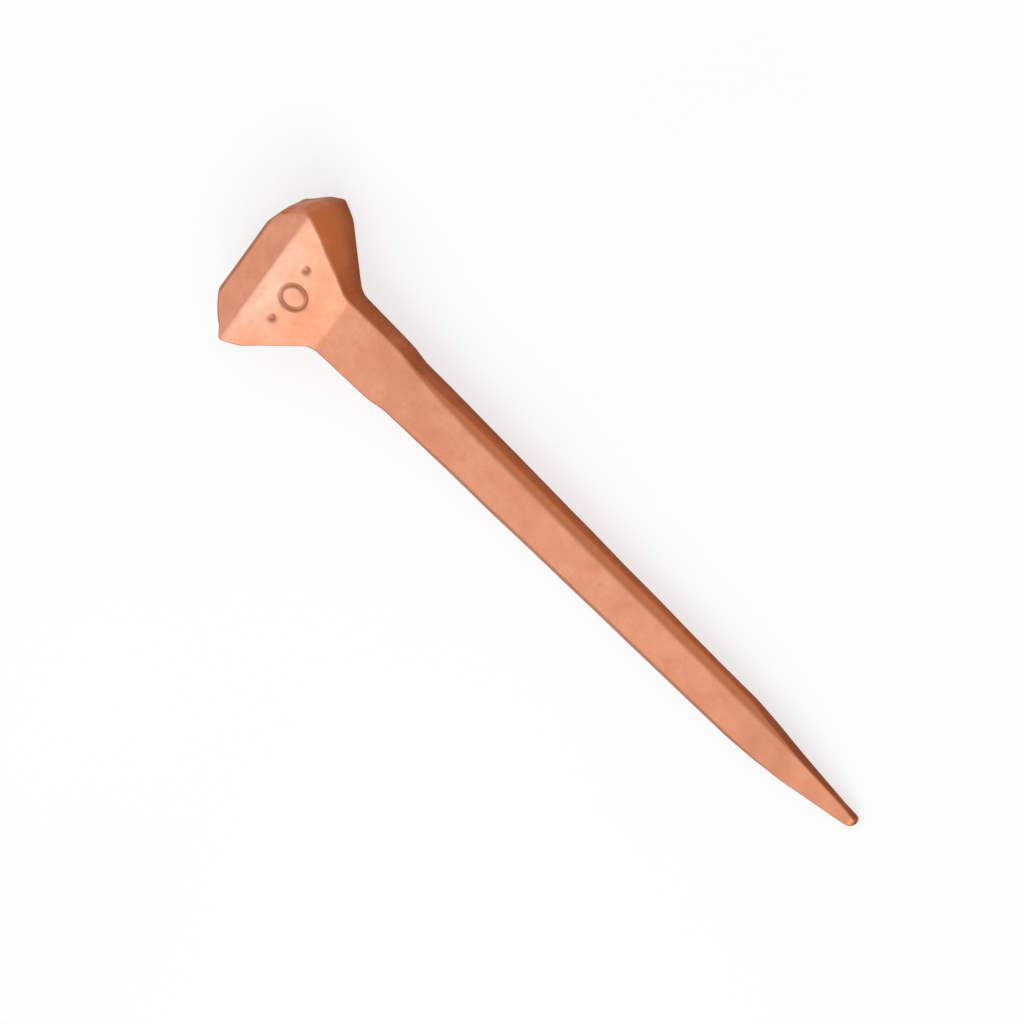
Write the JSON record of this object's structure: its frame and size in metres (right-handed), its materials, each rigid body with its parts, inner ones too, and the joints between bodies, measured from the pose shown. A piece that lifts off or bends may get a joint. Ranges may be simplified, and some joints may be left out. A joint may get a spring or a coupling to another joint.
{
  "type": "horseshoe nail",
  "caption": "Copper-coated horseshoe nail: flared rectangular head with a faceted crown, tapering shank with bevelled front corners, and a bevelled point.",
  "frame": {"origin": "halfway along the nail, on the surface that it lies on", "axes": "+X is the driving direction, from head to point; +Z is the front of the nail, with the point's bevel, facing up; Y is across the nail, which is symmetric about Y = 0"},
  "size_m": [0.051, 0.0104, 0.0042],
  "materials": {
    "copper_plating": "satin electroplated copper over forged steel, slightly mottled",
    "steel_core": "dull cold-forged low-carbon steel"
  },
  "bodies": {
    "root": {"steel_core": "steel_core", "copper_plating": "copper_plating"}
  },
  "joints": []
}
